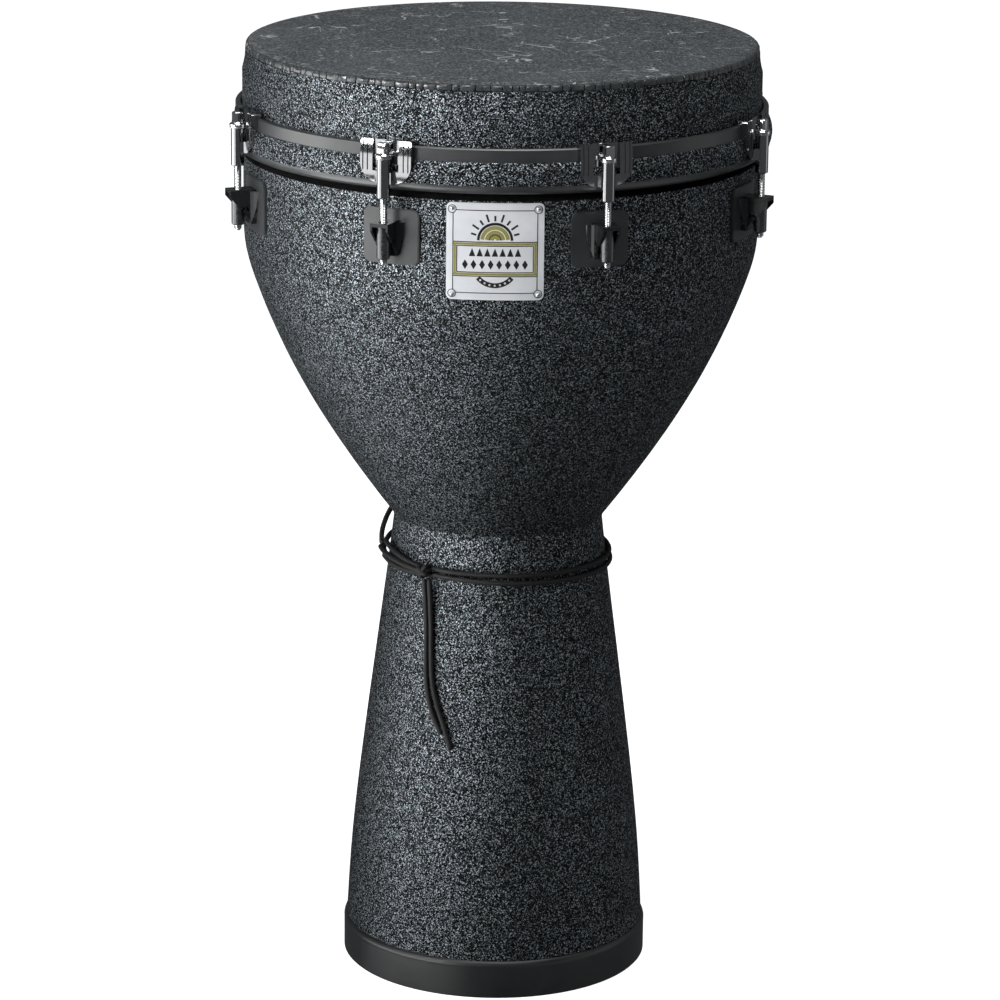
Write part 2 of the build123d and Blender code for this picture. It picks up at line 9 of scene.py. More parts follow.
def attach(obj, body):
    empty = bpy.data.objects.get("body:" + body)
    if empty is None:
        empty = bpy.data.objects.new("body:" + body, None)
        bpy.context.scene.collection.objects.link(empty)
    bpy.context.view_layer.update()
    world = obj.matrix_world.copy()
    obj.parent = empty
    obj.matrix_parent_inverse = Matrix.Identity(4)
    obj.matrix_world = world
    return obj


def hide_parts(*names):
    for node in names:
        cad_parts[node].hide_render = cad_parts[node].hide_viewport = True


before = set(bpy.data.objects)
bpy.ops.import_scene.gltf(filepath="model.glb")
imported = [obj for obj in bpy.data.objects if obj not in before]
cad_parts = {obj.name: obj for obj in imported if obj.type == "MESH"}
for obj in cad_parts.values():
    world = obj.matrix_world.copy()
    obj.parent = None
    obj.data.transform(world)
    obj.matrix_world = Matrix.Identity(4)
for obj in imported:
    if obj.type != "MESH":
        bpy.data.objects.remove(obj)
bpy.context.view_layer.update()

SCENE = bpy.context.scene
MM = 0.001
TURN = 2 * math.pi

# The drum's axis is Z and its nameplate faces -Y. Azimuths run from the front towards +X.
LUG_COUNT = 8
FIRST_LUG_AZIMUTH = -22.5
ROD_CIRCLE = 191.0 * MM


# Camera: lengths in metres, angles in degrees, the lens in millimetres

CAMERA_AZIMUTH = 1.15
CAMERA_DISTANCE = 2.9436
CAMERA_HEIGHT = 1.1465
CAMERA_PITCH = 15.448
CAMERA_ROLL = 0.591
CAMERA_SIDE = 0.00133
CAMERA_LENS = 155.9
SENSOR_WIDTH = 36.0
CAMERA_REACH = 100.0


def round_the_drum(azimuth, radius, height):
    """A point at an azimuth in degrees, a distance from the axis and a height."""
    angle = math.radians(azimuth)
    return Vector((radius * math.sin(angle), -radius * math.cos(angle), height))


def make_camera():
    data = bpy.data.cameras.new("camera")
    data.lens = CAMERA_LENS
    data.sensor_width = SENSOR_WIDTH
    data.clip_end = CAMERA_REACH
    camera = bpy.data.objects.new("camera", data)
    SCENE.collection.objects.link(camera)
    side = Vector((math.cos(math.radians(CAMERA_AZIMUTH)), math.sin(math.radians(CAMERA_AZIMUTH)), 0))
    place = round_the_drum(CAMERA_AZIMUTH, CAMERA_DISTANCE, CAMERA_HEIGHT) + side * CAMERA_SIDE
    turn = Matrix.Rotation(math.radians(CAMERA_AZIMUTH), 4, "Z")
    tilt = Matrix.Rotation(math.radians(90 - CAMERA_PITCH), 4, "X")
    roll = Matrix.Rotation(math.radians(CAMERA_ROLL), 4, "Z")
    camera.matrix_world = Matrix.Translation(place) @ turn @ tilt @ roll
    SCENE.camera = camera


# Materials

# A colour Mix node's sockets
MIX_FACTOR = 0
MIX_FIRST = 6
MIX_SECOND = 7
MIX_RESULT = 2


class Shader:
    """A Principled material with short calls for the nodes that drive it."""

    def __init__(self, name, colour, roughness, metallic=0.0):
        self.material = bpy.data.materials.new(name)
        self.material.use_nodes = True
        self.nodes = self.material.node_tree.nodes
        self.links = self.material.node_tree.links
        self.bsdf = self.nodes["Principled BSDF"]
        self.bsdf.inputs["Base Color"].default_value = (*colour, 1)
        self.bsdf.inputs["Roughness"].default_value = roughness
        self.bsdf.inputs["Metallic"].default_value = metallic
        self.place = self.nodes.new("ShaderNodeTexCoord").outputs["Object"]

    def link(self, source, target):
        self.links.new(source, target)

    def specular(self, level):
        self.bsdf.inputs["Specular IOR Level"].default_value = level

    def noise(self, scale, detail=2.0, roughness=0.5, distortion=0.0, place=None):
        node = self.nodes.new("ShaderNodeTexNoise")
        node.inputs["Scale"].default_value = scale
        node.inputs["Detail"].default_value = detail
        node.inputs["Roughness"].default_value = roughness
        node.inputs["Distortion"].default_value = distortion
        self.link(place or self.place, node.inputs["Vector"])
        return node.outputs["Fac"]

    def stretched(self, scale):
        """The object's coordinates, squeezed along each axis, for a grain."""
        node = self.nodes.new("ShaderNodeMapping")
        node.inputs["Scale"].default_value = scale
        self.link(self.place, node.inputs["Vector"])
        return node.outputs["Vector"]

    def cells(self, scale):
        """Small cells: the distance from each one's middle, and a chance value for each."""
        node = self.nodes.new("ShaderNodeTexVoronoi")
        node.inputs["Scale"].default_value = scale
        self.link(self.place, node.inputs["Vector"])
        return node.outputs["Distance"], node.outputs["Color"]

    def shifted(self, offset):
        """The object's coordinates moved, so that two noises of one scale differ."""
        node = self.nodes.new("ShaderNodeMapping")
        node.inputs["Location"].default_value = offset
        self.link(self.place, node.inputs["Vector"])
        return node.outputs["Vector"]

    def painted(self, attribute):
        """A value that the mesh carries at its points."""
        node = self.nodes.new("ShaderNodeAttribute")
        node.attribute_name = attribute
        return node.outputs["Fac"]

    def ramp(self, value, *stops):
        """Colours or greys at positions of a value."""
        node = self.nodes.new("ShaderNodeValToRGB")
        elements = node.color_ramp.elements
        while len(elements) < len(stops):
            elements.new(0.5)
        for element, (position, colour) in zip(elements, stops):
            element.position = position
            grey = (colour,) * 3 if isinstance(colour, (int, float)) else colour
            element.color = (*grey, 1)
        self.link(value, node.inputs["Fac"])
        return node.outputs["Color"]

    def maths(self, operation, first, second=0.0, third=0.0):
        node = self.nodes.new("ShaderNodeMath")
        node.operation = operation
        for number, value in enumerate((first, second, third)):
            if isinstance(value, (int, float)):
                node.inputs[number].default_value = value
            else:
                self.link(value, node.inputs[number])
        return node.outputs["Value"]

    def mix(self, amount, first, second):
        """One colour turning into another as amount goes from 0 to 1."""
        node = self.nodes.new("ShaderNodeMix")
        node.data_type = "RGBA"
        for socket, value in ((MIX_FACTOR, amount), (MIX_FIRST, first), (MIX_SECOND, second)):
            if isinstance(value, (int, float)):
                node.inputs[socket].default_value = value
            elif isinstance(value, tuple):
                node.inputs[socket].default_value = (*value, 1)
            else:
                self.link(value, node.inputs[socket])
        return node.outputs[MIX_RESULT]

    def bump(self, height, strength, distance, under=None):
        node = self.nodes.new("ShaderNodeBump")
        node.inputs["Strength"].default_value = strength
        node.inputs["Distance"].default_value = distance
        self.link(height, node.inputs["Height"])
        if under is not None:
            self.link(under, node.inputs["Normal"])
        return node.outputs["Normal"]

    def finish(self, colour, roughness, normal):
        """The material, once its colour, normal and any uneven roughness are linked."""
        self.link(colour, self.bsdf.inputs["Base Color"])
        if roughness is not None:
            self.link(roughness, self.bsdf.inputs["Roughness"])
        self.link(normal, self.bsdf.inputs["Normal"])
        return self.material


def shades(colour, *shares):
    """A colour made darker or paler by each share."""
    return [tuple(part * share for part in colour) for share in shares]


def coating():
    """Charcoal sprayed coating: hard glinting grains among near-black ones."""
    shader = Shader("shell_coating", (0.03, 0.032, 0.034), 0.6)
    shader.specular(0.12)
    distance, chance = shader.cells(1600)
    drift = shader.noise(900, 2.0, 0.6)
    level = shader.maths("MULTIPLY_ADD", drift, 0.3, shader.maths("MULTIPLY", chance, 0.85))
    tone = shader.ramp(
        level,
        (0.48, (0.0008, 0.0009, 0.001)),
        (0.62, (0.0058, 0.0067, 0.0074)),
        (0.75, (0.116, 0.131, 0.143)),
        (0.92, (0.6, 0.67, 0.725)),
    )
    glint = shader.ramp(level, (0.62, 0.0), (0.75, 0.95))
    shader.link(glint, shader.bsdf.inputs["Metallic"])
    gloss = shader.ramp(level, (0.5, 0.75), (0.75, 0.43))
    soft = shader.bump(drift, 0.4, 0.0006)
    return shader.finish(tone, gloss, shader.bump(distance, 0.6, 0.0005, soft))


def shaded_bare_rim():
    """The dull bare edge of the shell, seen only through the gap under the hoop: partly the edge's own
    black, and darkened further as painted shade of that gap.
    """
    # Near-black colour: painted shade of the gap under the hoop, over the bare edge's own black.
    shader = Shader("bare_edge_painted_shade", (0.006, 0.006, 0.006), 0.85)
    shader.specular(0.1)
    scuffs = shader.noise(220, 3.0, 0.6)
    tone = shader.ramp(scuffs, (0.3, (0.003, 0.003, 0.003)), (0.7, (0.008, 0.008, 0.008)))
    return shader.finish(tone, None, shader.bump(scuffs, 0.2, 0.0003))


def inner_plastic():
    """The bare inside of the moulded shells, warm dark grey with mould flow marks."""
    shader = Shader("inner_plastic", (0.05, 0.047, 0.044), 0.6)
    flow = shader.noise(40, 3.0, 0.6, 1.5)
    grain = shader.noise(900, 2.0, 0.6)
    tone = shader.ramp(flow, (0.3, (0.035, 0.033, 0.03)), (0.7, (0.062, 0.058, 0.054)))
    gloss = shader.ramp(flow, (0.3, 0.5), (0.7, 0.7))
    return shader.finish(tone, gloss, shader.bump(grain, 0.3, 0.0004))


def foot_rubber():
    """Moulded rubber, satin, with a soft bloom and fine pores."""
    shader = Shader("foot_rubber", (0.012, 0.013, 0.013), 0.42)
    bloom = shader.noise(35, 3.0, 0.6, 0.8)
    pores = shader.noise(1400, 2.0, 0.5)
    shader.specular(0.85)
    tone = shader.ramp(bloom, (0.3, (0.006, 0.007, 0.007)), (0.75, (0.016, 0.018, 0.019)))
    gloss = shader.ramp(bloom, (0.3, 0.36), (0.75, 0.5))
    return shader.finish(tone, gloss, shader.bump(pores, 0.18, 0.0003))


def wisps(shader, scale, offset, detail, thin, lowest, highest):
    """Long thin threads along the level lines of a noise, in a few patches."""
    place = shader.shifted(offset)
    level = shader.noise(scale, detail, 0.55, 0.4, place)
    distance = shader.maths("ABSOLUTE", shader.maths("SUBTRACT", level, 0.5))
    thread = shader.ramp(distance, (0.0, 1.0), (thin, 0.0))
    where = shader.ramp(shader.noise(scale * 1.5, 3.0, 0.6, 0.3, place), (lowest, 0.0), (highest, 1.0))
    return shader.maths("MULTIPLY", thread, where)


def film():
    """Laminated charcoal head: cloudy grey with pale feathery veins and tiny flecks."""
    shader = Shader("film", (0.05, 0.055, 0.058), 0.5)
    shader.specular(0.3)
    cloud = shader.noise(14, 4.0, 0.6, 0.6)
    mottle = shader.noise(420, 3.0, 0.65)
    base = shader.ramp(cloud, (0.3, (0.034, 0.038, 0.04)), (0.7, (0.066, 0.072, 0.077)))
    veins = wisps(shader, 11, (0.3, 0.1, 0.0), 4.0, 0.006, 0.5, 0.6)
    crossing = wisps(shader, 24, (-0.6, 0.7, 0.2), 3.0, 0.009, 0.52, 0.62)
    flecks = wisps(shader, 85, (0.1, -0.4, 0.5), 2.0, 0.03, 0.57, 0.66)
    threads = shader.maths("MAXIMUM", veins, crossing)
    white = shader.maths("MAXIMUM", threads, shader.maths("MULTIPLY", flecks, 0.6))
    grainy = shader.ramp(shader.cells(900)[1], (0.5, 0.0), (0.8, 1.0))
    speckled = shader.mix(shader.maths("MULTIPLY", grainy, 0.75), base, (0.2, 0.213, 0.222))
    tone = shader.mix(white, speckled, (0.55, 0.57, 0.58))
    gloss = shader.ramp(mottle, (0.3, 0.44), (0.7, 0.6))
    return shader.finish(tone, gloss, shader.bump(mottle, 0.25, 0.0003))


def film_lip():
    """The crimped edge of the film, smoother and shinier than its top."""
    shader = Shader("film_lip", (0.04, 0.044, 0.047), 0.2)
    smear = shader.noise(160, 3.0, 0.6, 0.8)
    tone = shader.ramp(smear, (0.3, (0.02, 0.023, 0.025)), (0.7, (0.06, 0.066, 0.07)))
    shader.specular(0.8)
    gloss = shader.ramp(smear, (0.3, 0.16), (0.7, 0.3))
    return shader.finish(tone, gloss, shader.bump(smear, 0.3, 0.0006))


def strap_black():
    """Satin black enamel on the hoop's upper band."""
    shader = Shader("strap_black", (0.02, 0.022, 0.023), 0.33)
    shader.specular(1.0)
    peel = shader.noise(420, 2.0, 0.5)
    haze = shader.noise(30, 3.0, 0.6)
    tone = shader.ramp(haze, (0.3, (0.017, 0.019, 0.02)), (0.7, (0.03, 0.033, 0.034)))
    gloss = shader.ramp(haze, (0.3, 0.3), (0.7, 0.42))
    return shader.finish(tone, gloss, shader.bump(peel, 0.16, 0.0003))


def hardware_black():
    """Glossy black enamel over steel, with slight orange peel."""
    shader = Shader("hardware_black", (0.011, 0.012, 0.013), 0.16)
    peel = shader.noise(300, 1.0, 0.4)
    wear = shader.noise(70, 3.0, 0.6)
    tone = shader.ramp(wear, (0.3, (0.007, 0.008, 0.008)), (0.75, (0.017, 0.018, 0.019)))
    gloss = shader.ramp(wear, (0.3, 0.12), (0.75, 0.24))
    return shader.finish(tone, gloss, shader.bump(peel, 0.12, 0.0004))


def bright_metal(name, colour, roughness, grain=500):
    """Plated steel with faint polishing haze."""
    shader = Shader(name, colour, roughness, 1.0)
    haze = shader.noise(grain, 3.0, 0.6)
    low, high = shades(colour, 0.9, 1.0)
    tone = shader.ramp(haze, (0.3, low), (0.7, high))
    gloss = shader.ramp(haze, (0.3, roughness * 0.7), (0.7, roughness * 1.5))
    return shader.finish(tone, gloss, shader.bump(haze, 0.05, 0.0002))


def brushed_plate():
    """Satin aluminium with a fine brushed grain across it."""
    shader = Shader("plate_metal", (0.82, 0.83, 0.86), 0.34, 0.2)
    grain = shader.noise(1.0, 4.0, 0.7, 0.0, shader.stretched((60, 60, 2600)))
    tarnish = shader.noise(26, 3.0, 0.6)
    tone = shader.ramp(tarnish, (0.25, (0.7, 0.72, 0.76)), (0.7, (0.87, 0.88, 0.9)))
    gloss = shader.ramp(grain, (0.3, 0.28), (0.7, 0.44))
    return shader.finish(tone, gloss, shader.bump(grain, 0.15, 0.0002))


def printed(name, colour, roughness):
    """Enamel fill in the nameplate's pressed lines, slightly uneven."""
    shader = Shader(name, colour, roughness)
    patch = shader.noise(900, 3.0, 0.6)
    low, high = shades(colour, 0.78, 1.12)
    tone = shader.ramp(patch, (0.3, low), (0.7, high))
    return shader.finish(tone, None, shader.bump(patch, 0.2, 0.0002))


def braid():
    """Black braided polyester, with painted highlight on the yarns' crowns and painted shade in the gaps
    between them.
    """
    shader = Shader("braided_cord", (0.014, 0.014, 0.015), 0.6)
    crown = shader.painted("crown")
    fibre = shader.noise(1700, 2.0, 0.6)
    dark, pale = (0.0025, 0.0025, 0.0027), (0.1, 0.104, 0.108)
    # Crown value to colour: painted shade in the gaps between yarns, painted highlight on their crowns.
    tone = shader.ramp(crown, (0.45, dark), (0.72, (0.014, 0.0145, 0.015)), (0.96, pale))
    worn = shader.mix(shader.ramp(fibre, (0.35, 0.75), (0.65, 0.0)), tone, (0.006, 0.006, 0.0065))
    gloss = shader.ramp(fibre, (0.3, 0.5), (0.7, 0.75))
    return shader.finish(worn, gloss, shader.bump(fibre, 0.4, 0.0003))


# Mesh helpers


def mesh_object(name, vertices, faces, material, smooth_angle):
    mesh = bpy.data.meshes.new(name)
    mesh.from_pydata([tuple(v) for v in vertices], [], faces)
    mesh.validate()
    mesh.shade_smooth()
    mesh.set_sharp_from_angle(angle=math.radians(smooth_angle))
    mesh.materials.append(material)
    obj = bpy.data.objects.new(name, mesh)
    SCENE.collection.objects.link(obj)
    return obj


def rows_to_faces(row_count, width):
    """Quads between rows of vertices, each row closed on itself."""
    faces = []
    for row in range(row_count - 1):
        low = row * width
        high = low + width
        for column in range(width):
            after = (column + 1) % width
            faces.append((low + column, low + after, high + after, high + column))
    return faces


# Cords

CORD_RADIUS = 1.9 * MM
CORD_REST = 0.35 * MM
ROUTE_RESOLUTION = 24
PATH_STEP = 2 * MM

# The stem's outline: radius and height in millimetres
STEM_OUTLINE = [(106.2, 27.3), (102.9, 80.0), (94.2, 160.0), (83.8, 240.0), (73.4, 323.0)]

# The cord's places: azimuth in degrees, gap from the stem and height in millimetres
LOOP_LOWER = [
    (-37, 0.4, 297.0),
    (-20, 0.0, 296.2),
    (10, 0.0, 294.6),
    (40, 0.0, 293.8),
    (70, 0.0, 292.8),
    (100, 0.0, 292.4),
    (130, 0.0, 294.0),
    (160, 0.0, 297.0),
    (190, 0.0, 300.6),
    (220, 0.0, 303.0),
    (250, 0.0, 302.8),
    (269, 1.0, 300.6),
    (281, 2.6, 299.4),
]
LASHING = [(293, 2.8, 300.0), (306, 2.8, 300.4)]
LOOP_UPPER = [
    (323, 0.4, 301.4),
    (340, 0.0, 300.6),
    (370, 0.0, 300.0),
    (400, 0.0, 299.8),
    (430, 0.0, 298.6),
    (460, 0.0, 298.2),
    (490, 0.0, 300.6),
    (520, 0.0, 305.4),
    (550, 0.0, 312.0),
    (580, 0.0, 318.6),
    (603, 0.0, 323.4),
    (619, 0.6, 324.0),
    (629, 3.0, 318.0),
    (636, 5.2, 309.6),
    (641, 4.6, 304.2),
]
TAIL_A = [
    (-36.6, 3.4, 294.0),
    (-36.4, 0.6, 280.0),
    (-34.8, 0.0, 262.0),
    (-33.6, 0.0, 242.0),
    (-32.4, 0.0, 222.0),
    (-29.6, 0.0, 206.0),
    (-26.2, 0.0, 195.0),
    (-23.0, 0.0, 187.0),
]
TAIL_B = [
    (-33.6, 3.4, 294.0),
    (-33.4, 0.8, 280.0),
    (-32.0, 0.0, 262.0),
    (-30.8, 0.0, 242.0),
    (-29.4, 0.0, 222.0),
    (-25.8, 0.0, 206.0),
    (-21.6, 0.0, 192.0),
    (-18.2, 0.0, 176.5),
]


def stem_radius(height):
    """The stem's outer radius at a height, both in millimetres."""
    for (low_r, low_z), (high_r, high_z) in zip(STEM_OUTLINE, STEM_OUTLINE[1:]):
        if height <= high_z:
            return low_r + (high_r - low_r) * (height - low_z) / (high_z - low_z)
    return STEM_OUTLINE[-1][0]


def placed(places):
    """The control points of a route round the stem, as the CAD's own route has them."""
    points = []
    for number, (azimuth, stand_off, height) in enumerate(places):
        before = places[max(number - 1, 0)][0]
        after = places[min(number + 1, len(places) - 1)][0]
        half_turn = math.radians(abs(after - before) / 4)
        reach = (stem_radius(height) + stand_off) * MM + CORD_RADIUS + CORD_REST
        points.append(round_the_drum(azimuth, reach / math.cos(half_turn), height * MM))
    return points


def route_points(points):
    """The smooth line that a NURBS spline makes of its control points."""
    curve = bpy.data.curves.new("route", "CURVE")
    curve.dimensions = "3D"
    spline = curve.splines.new("NURBS")
    spline.points.add(len(points) - 1)
    for point, place in zip(spline.points, points):
        point.co = (*place, 1)
    spline.order_u = 3
    spline.use_endpoint_u = True
    spline.resolution_u = ROUTE_RESOLUTION
    holder = bpy.data.objects.new("route", curve)
    SCENE.collection.objects.link(holder)
    mesh = bpy.data.meshes.new_from_object(holder)
    line = [vertex.co.copy() for vertex in mesh.vertices]
    bpy.data.objects.remove(holder)
    bpy.data.curves.remove(curve)
    bpy.data.meshes.remove(mesh)
    return line


def length_of(line):
    return sum((b - a).length for a, b in zip(line, line[1:]))


def evenly(line, step):
    """The same line with points a step apart."""
    count = max(2, round(length_of(line) / step))
    spacing = length_of(line) / count
    even = [line[0].copy()]
    walked = 0.0
    for a, b in zip(line, line[1:]):
        run = (b - a).length
        while len(even) <= count and walked + run >= spacing * len(even) - 1e-9:
            even.append(a.lerp(b, (spacing * len(even) - walked) / run))
        walked += run
    if len(even) <= count:
        even.append(line[-1].copy())
    return even


BRAID_SIDES = 24
BRAID_LOBES = 3
BRAID_PITCH = 4.2 * MM
BRAID_STEP = 0.5 * MM
BRAID_DEPTH = 0.2
BRAID_PROUD = 1.03
END_ROUND = 4
END_START = 0.35
END_CROWN = 0.3


def braided_tube(line):
    """Vertices and faces of a cord whose surface is a plain braid of crossing yarns."""
    line = evenly(line, BRAID_STEP)
    vertices = []
    crowns = []
    side = None
    last = len(line) - 1
    for number, point in enumerate(line):
        ahead = (line[min(number + 1, last)] - line[max(number - 1, 0)]).normalized()
        if side is None:
            side = ahead.orthogonal().normalized()
        side = (side - ahead * side.dot(ahead)).normalized()
        across = ahead.cross(side)
        along = TURN * number * BRAID_STEP / BRAID_PITCH
        from_end = min(number, last - number)
        taper = 1.0
        if from_end < END_ROUND:
            taper = math.sqrt(1 - (1 - (from_end + END_START) / (END_ROUND + END_START)) ** 2)
        for corner in range(BRAID_SIDES):
            angle = TURN * corner / BRAID_SIDES
            left = math.cos(BRAID_LOBES * angle + along)
            right = math.cos(BRAID_LOBES * angle - along)
            crown = abs(left * right)
            # The crown value also drives the cord shader's painted shade in the gaps and painted highlight
            # on the crowns.
            crowns.append(crown)
            height = 1 - BRAID_DEPTH * (1 - crown)
            reach = CORD_RADIUS * BRAID_PROUD * height * taper
            vertices.append(point + (side * math.cos(angle) + across * math.sin(angle)) * reach)
    faces = rows_to_faces(len(line), BRAID_SIDES)
    start = len(vertices)
    vertices.append(line[0])
    vertices.append(line[-1])
    crowns += [END_CROWN, END_CROWN]
    for corner in range(BRAID_SIDES):
        after = (corner + 1) % BRAID_SIDES
        faces.append((start, after, corner))
        faces.append((start + 1, last * BRAID_SIDES + corner, last * BRAID_SIDES + after))
    return vertices, faces, crowns


def cord_mesh(name, lines, material):
    """One mesh of one or more braided runs."""
    vertices = []
    faces = []
    crowns = []
    for line in lines:
        more_vertices, more_faces, more_crowns = braided_tube(line)
        faces += [tuple(index + len(vertices) for index in face) for face in more_faces]
        vertices += more_vertices
        crowns += more_crowns
    cord = mesh_object(name, vertices, faces, material, 75.0)
    cord.data.attributes.new("crown", "FLOAT", "POINT").data.foreach_set("value", crowns)
    return cord


# The lashing's strands and the knot, placed as the cord is; each loop has a radius, tilt and depth
BUNDLE = [
    [(280, 2.2, 306.4), (288, 1.6, 305.4), (301, 1.4, 303.6), (313, 2.0, 302.0), (321, 3.2, 301.2)],
    [(278, 5.0, 301.6), (288, 4.4, 300.8), (302, 3.8, 300.2), (314, 4.8, 299.8), (322, 6.2, 299.6)],
    [(280, 2.0, 296.0), (289, 1.2, 295.2), (302, 1.0, 294.8), (314, 1.8, 295.8), (322, 3.4, 298.0)],
]
KNOT_PLACE = (323.6, 3.8, 299.6)
KNOT_LOOPS = [(4.4 * MM, 1.1, 0.4 * MM), (3.8 * MM, -0.5, 1.6 * MM), (3.4 * MM, 0.3, -0.6 * MM)]
KNOT_STEPS = 26
KNOT_TURNS = 1.05
KNOT_WIDTH = 1.1
KNOT_DEPTH = 0.6


def bundle_lines():
    """The strands that run side by side from the left of the neck to the knot."""
    return [route_points(placed(places)) for places in BUNDLE]


def knot_lines():
    """The overhand knot at the end of the bundle, where the two tails leave."""
    centre = placed([KNOT_PLACE])[0]
    outwards = Vector((centre.x, centre.y, 0)).normalized()
    up = Vector((0, 0, 1))
    across = up.cross(outwards)
    loops = []
    for radius, tilt, depth in KNOT_LOOPS:
        tilted = math.cos(tilt) * across + math.sin(tilt) * up
        loop = []
        for number in range(KNOT_STEPS + 1):
            angle = TURN * KNOT_TURNS * number / KNOT_STEPS
            ring = tilted * math.cos(angle) * KNOT_WIDTH + outwards * math.sin(angle) * KNOT_DEPTH
            loop.append(centre + outwards * depth + ring * radius)
        loops.append(loop)
    return loops


def make_cords(material):
    turns = route_points(placed(LOOP_LOWER + LASHING + LOOP_UPPER))
    cord = cord_mesh("neck_cord_turns", [turns], material)
    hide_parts("cord_loop_lower", "cord_loop_upper")
    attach(cord, "drum_body")
    knot = cord_mesh("neck_cord_knot", [*bundle_lines(), *knot_lines()], material)
    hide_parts("cord_knot")
    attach(knot, "drum_body")
    evenly(turns, PATH_STEP)
    for name, places, node in (
        ("neck_cord_tail_long", TAIL_B, "cord_tail_b"),
        ("neck_cord_tail_short", TAIL_A, "cord_tail_a"),
    ):
        line = route_points(placed(places))
        tail = cord_mesh(name, [line], material)
        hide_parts(node)
        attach(tail, "drum_body")
        evenly(line, PATH_STEP)


# The playing film

FILM_TOP = 660.0 * MM
LIP_OUTER = 175.9 * MM
LIP_FOOT = 655.0 * MM
FILM_BORE = 174.35 * MM
PLEAT_NARROW = 4.2 * MM
PLEAT_WIDE = 11.0 * MM
PLEAT_GAP = 0.9 * MM
PLEAT_SKEW = 1.3
PLEAT_TILT = (-0.55, 0.55)
PLEAT_BULGE = (0.05, 0.4)
PLEAT_FOOT = (-0.35, 0.1)
PLEAT_SHARES = (0.0, 0.12, 0.35, 0.65, 0.88, 1.0)
PLEAT_SEED = 11
VALLEY_DEPTH = 1.0 * MM
VALLEY_LIFT = 0.5 * MM
LIP_ROWS = range(3, 10)


def pleats():
    """Uneven pleats round the rim: start angle, end angle, tilt, bulge and foot of each."""
    rng = random.Random(PLEAT_SEED)
    widths = []
    while sum(widths) < TURN * LIP_OUTER:
        widths.append(PLEAT_NARROW + (PLEAT_WIDE - PLEAT_NARROW) * rng.random() ** PLEAT_SKEW)
    stretch = TURN / sum(widths)
    angle = 0.0
    made = []
    for width in widths:
        facts = [rng.uniform(*limits) for limits in (PLEAT_TILT, PLEAT_BULGE, PLEAT_FOOT)]
        made.append((angle, angle + width * stretch, *(fact * MM for fact in facts)))
        angle += width * stretch
    return made


def pleat_columns():
    """Angle, how far out the pleat stands there, and how low its foot is."""
    columns = []
    for start, end, tilt, bulge, foot in pleats():
        gap = PLEAT_GAP / LIP_OUTER
        inner_start, inner_end = start + gap / 2, end - gap / 2
        columns.append((start, -VALLEY_DEPTH, VALLEY_LIFT))
        for share in PLEAT_SHARES:
            angle = inner_start + (inner_end - inner_start) * share
            crown = bulge * (1 - (2 * share - 1) ** 2)
            columns.append((angle, crown + tilt * (share - 0.5), foot))
    return columns


def make_film(top_material, lip_material):
    # radius, height, share of the pleat's own shape
    profile = [
        (FILM_BORE - 8.6 * MM, FILM_TOP, 0.0),
        (FILM_BORE - 6.4 * MM, FILM_TOP, 0.0),
        (FILM_BORE - 5.4 * MM, FILM_TOP - 0.12 * MM, 0.0),
        (LIP_OUTER - 1.9 * MM, FILM_TOP - 0.6 * MM, 0.1),
        (LIP_OUTER - 0.8 * MM, FILM_TOP - 1.0 * MM, 0.6),
        (LIP_OUTER - 0.25 * MM, FILM_TOP - 1.9 * MM, 1.0),
        (LIP_OUTER - 0.1 * MM, LIP_FOOT + 1.6 * MM, 1.0),
        (LIP_OUTER - 0.1 * MM, LIP_FOOT + 0.45 * MM, 1.0),
        (LIP_OUTER - 0.6 * MM, LIP_FOOT + 0.2 * MM, 0.5),
        (FILM_BORE, LIP_FOOT + 0.2 * MM, 0.0),
        (FILM_BORE, FILM_TOP - 2.6 * MM, 0.0),
        (FILM_BORE - 1.6 * MM, FILM_TOP - 0.6 * MM, 0.0),
        (FILM_BORE - 8.6 * MM, FILM_TOP - 0.4 * MM, 0.0),
    ]
    columns = pleat_columns()
    width = len(columns)
    vertices = []
    for radius, height, share in profile:
        for angle, stand, foot in columns:
            reach = radius + stand * share
            low = foot if height < LIP_FOOT + 1.0 * MM and share > 0 else 0.0
            vertices.append((reach * math.cos(angle), reach * math.sin(angle), height + low * share))
    faces = rows_to_faces(len(profile), width)
    faces.append(tuple(range(width)))
    faces.append(tuple((len(profile) - 1) * width + column for column in reversed(range(width))))
    film_object = mesh_object("playing_film", vertices, faces, top_material, 28.0)
    film_object.data.materials.append(lip_material)
    for face in film_object.data.polygons:
        row = min(face.vertices) // width
        if row in LIP_ROWS and len(face.vertices) == 4:
            face.material_index = 1
    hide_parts("head_film")
    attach(film_object, "tuning_head")


# Tension rods

THREAD_PITCH = 1.0583 * MM
THREAD_DEPTH = 0.55 * MM
THREAD_SIDES = 20
THREAD_STEPS = 6
ROD_RADIUS = 2.7 * MM
ROD_TIP = 540.0 * MM
THREAD_TOP = 586.6 * MM
FLANGE_FOOT = 611.5 * MM
FLANGE_TOP = 613.5 * MM
SQUARE_FOOT = 614.7 * MM
SQUARE_TOP = 621.4 * MM
POINT_START = 0.55
POINT_GROWTH = 0.45
POINT_TURNS = 1.5
SQUARENESS = 9


def ring_points(radius, height, sides, square):
    """One ring; square runs from 0, a circle, to 1, a square with rounded corners."""
    ring = []
    for corner in range(sides):
        angle = TURN * (corner + 0.5) / sides
        c, s = math.cos(angle), math.sin(angle)
        round_square = radius / (abs(c) ** SQUARENESS + abs(s) ** SQUARENESS) ** (1 / SQUARENESS)
        reach = radius * (1 - square) + round_square * square
        ring.append((reach * c, reach * s, height))
    return ring


